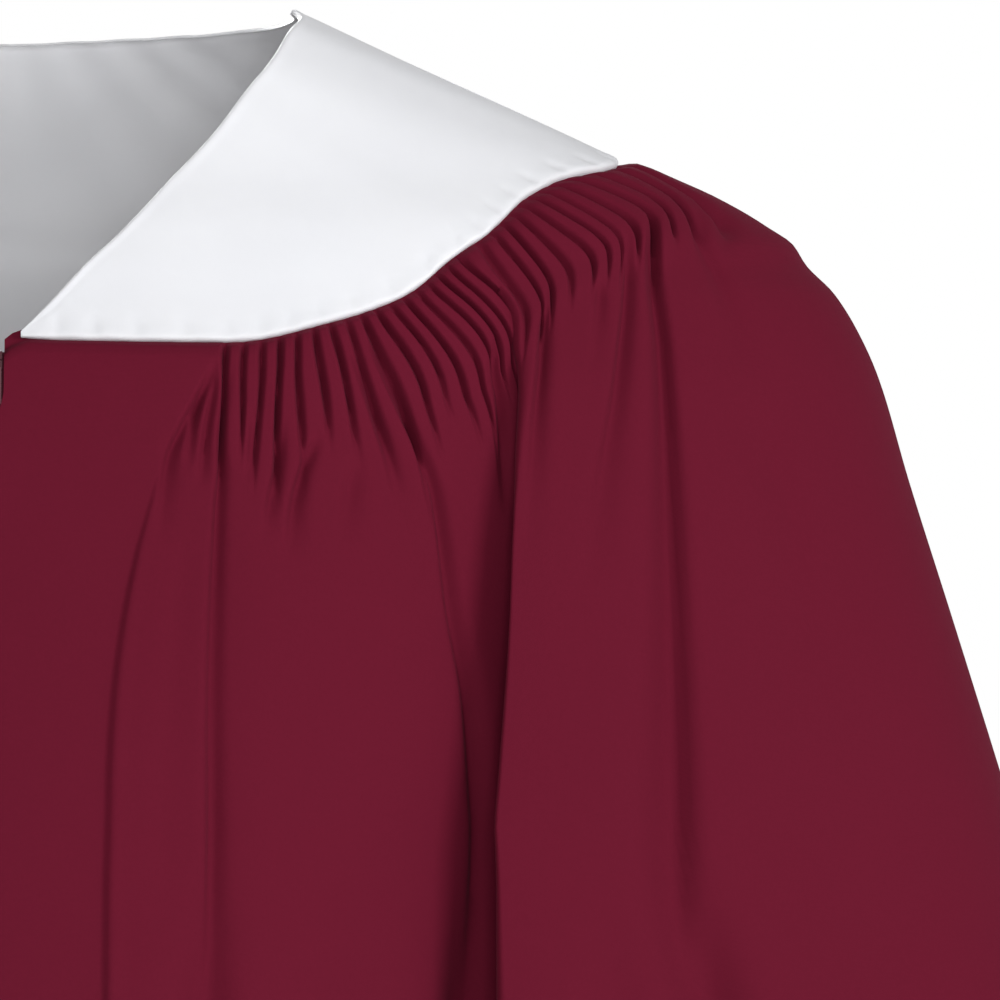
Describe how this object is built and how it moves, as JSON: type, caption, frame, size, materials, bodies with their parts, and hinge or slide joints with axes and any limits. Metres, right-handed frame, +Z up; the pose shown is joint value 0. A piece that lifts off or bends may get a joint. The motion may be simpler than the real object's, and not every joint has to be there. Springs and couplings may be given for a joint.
{
  "type": "choir robe",
  "caption": "Full-length choir robe as worn: white satin V-neck yoke, maroon body fluted into the yoke seam, full bell sleeves and a front zip.",
  "frame": {"origin": "middle of the neck's base, level with the points where the neckline meets the shoulders, where the wearer's shoulders hold the robe", "axes": "+X to the wearer's left, -Y the way the wearer faces, +Z up"},
  "size_m": [0.79, 0.5292, 1.3393],
  "materials": {
    "maroon_cloth": "matte fine-weave polyester with a slight sheen",
    "white_satin": "smooth satin",
    "zip_tape": "matte woven tape",
    "zip_metal": "dyed to match the cloth, semi-gloss"
  },
  "bodies": {
    "robe": {"yoke_front_left": "white_satin", "yoke_front_right": "white_satin", "yoke_back": "white_satin", "front_left": "maroon_cloth", "front_right": "maroon_cloth", "back": "maroon_cloth", "sleeve_left": "maroon_cloth", "sleeve_right": "maroon_cloth", "zip_tape": "zip_tape", "zip_slider": "zip_metal"},
    "pull_tab": {"zip_pull": "zip_metal"}
  },
  "joints": [
    {"name": "pull_tab_hinge", "type": "hinge", "parent": "robe", "child": "pull_tab", "pos_m": [0, -0.0894, -0.10325], "axis": [-1, 0, 0], "range_deg": [0, 140]}
  ]
}
